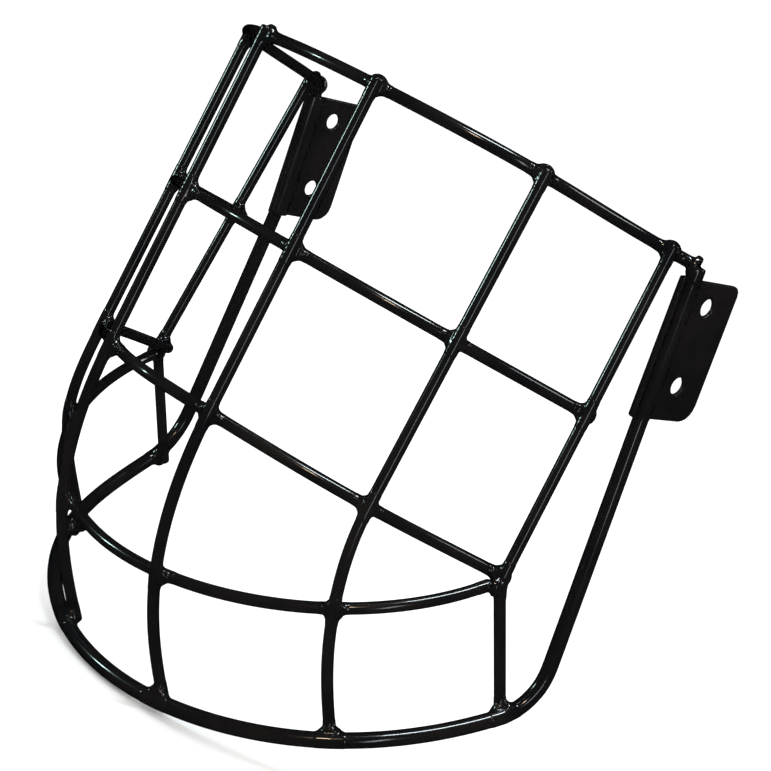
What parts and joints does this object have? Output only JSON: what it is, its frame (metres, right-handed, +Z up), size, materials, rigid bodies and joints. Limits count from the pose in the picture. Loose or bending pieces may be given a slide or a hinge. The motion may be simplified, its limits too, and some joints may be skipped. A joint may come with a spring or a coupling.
{
  "type": "goalie mask cage",
  "caption": "Black coated wire face cage for a goalie mask, with welded bars, a thick perimeter wire and drilled side plates for bolting to a helmet.",
  "frame": {"origin": "bottom centre of the bounding box, on the symmetry plane under the chin", "axes": "+Z up with the side plates upright, -Y the way the wearer looks, +X the wearer's left"},
  "size_m": [0.2114, 0.1414, 0.2134],
  "materials": {
    "wire_coating": "deep gloss black dip coating over steel wire",
    "plate_coating": "gloss black dip coating over steel strap",
    "weld_coating": "the same gloss black coating, pooled over the welds"
  },
  "bodies": {
    "root": {"perimeter_wire": "wire_coating", "brow_bar": "wire_coating", "upper_crossbar": "wire_coating", "lower_crossbar": "wire_coating", "jaw_bar": "wire_coating", "left_inner_upright": "wire_coating", "left_middle_upright": "wire_coating", "left_outer_upright": "wire_coating", "right_inner_upright": "wire_coating", "right_middle_upright": "wire_coating", "right_outer_upright": "wire_coating", "left_side_plate": "plate_coating", "right_side_plate": "plate_coating", "left_plate_seam": "weld_coating", "right_plate_seam": "weld_coating", "brow_bar_welds": "weld_coating", "upper_crossbar_welds": "weld_coating", "lower_crossbar_welds": "weld_coating", "jaw_bar_welds": "weld_coating", "perimeter_wire_welds": "weld_coating"}
  },
  "joints": []
}
